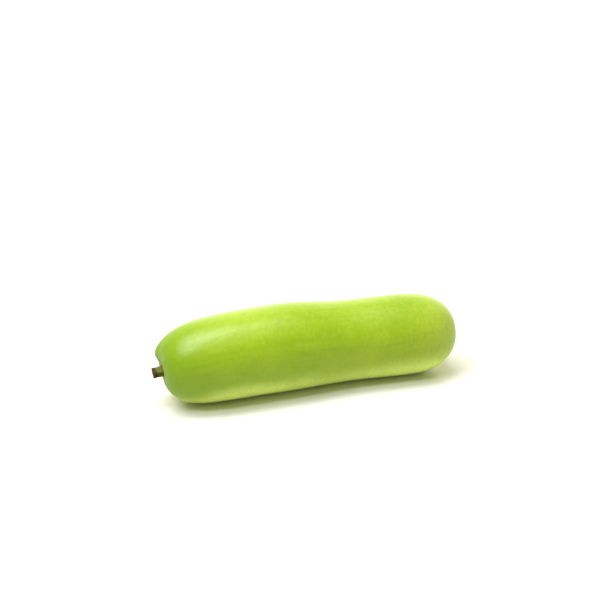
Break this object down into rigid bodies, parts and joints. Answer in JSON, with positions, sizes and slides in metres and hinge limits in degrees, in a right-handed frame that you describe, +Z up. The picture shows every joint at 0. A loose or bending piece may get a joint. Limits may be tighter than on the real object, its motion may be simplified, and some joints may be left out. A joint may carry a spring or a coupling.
{
  "type": "bottle gourd",
  "caption": "Bottle gourd: a long, blunt-ended, faintly waisted vegetable with smooth pale green skin, lying on its side, with a short cut stem in its dimpled end.",
  "frame": {"origin": "on the flat spot that the fruit rests on, under its weight", "axes": "+Z up; +X along the gourd, from the stem end towards the blossom end; +Y to the left of +X"},
  "size_m": [0.2924, 0.0838, 0.0803],
  "materials": {
    "skin": "fresh pale green gourd skin, satin, faintly mottled and finely downy",
    "stem": "green ridged stem, matt, dried brown at its cut end"
  },
  "bodies": {
    "root": {"fruit": "skin", "stem": "stem"}
  },
  "joints": []
}
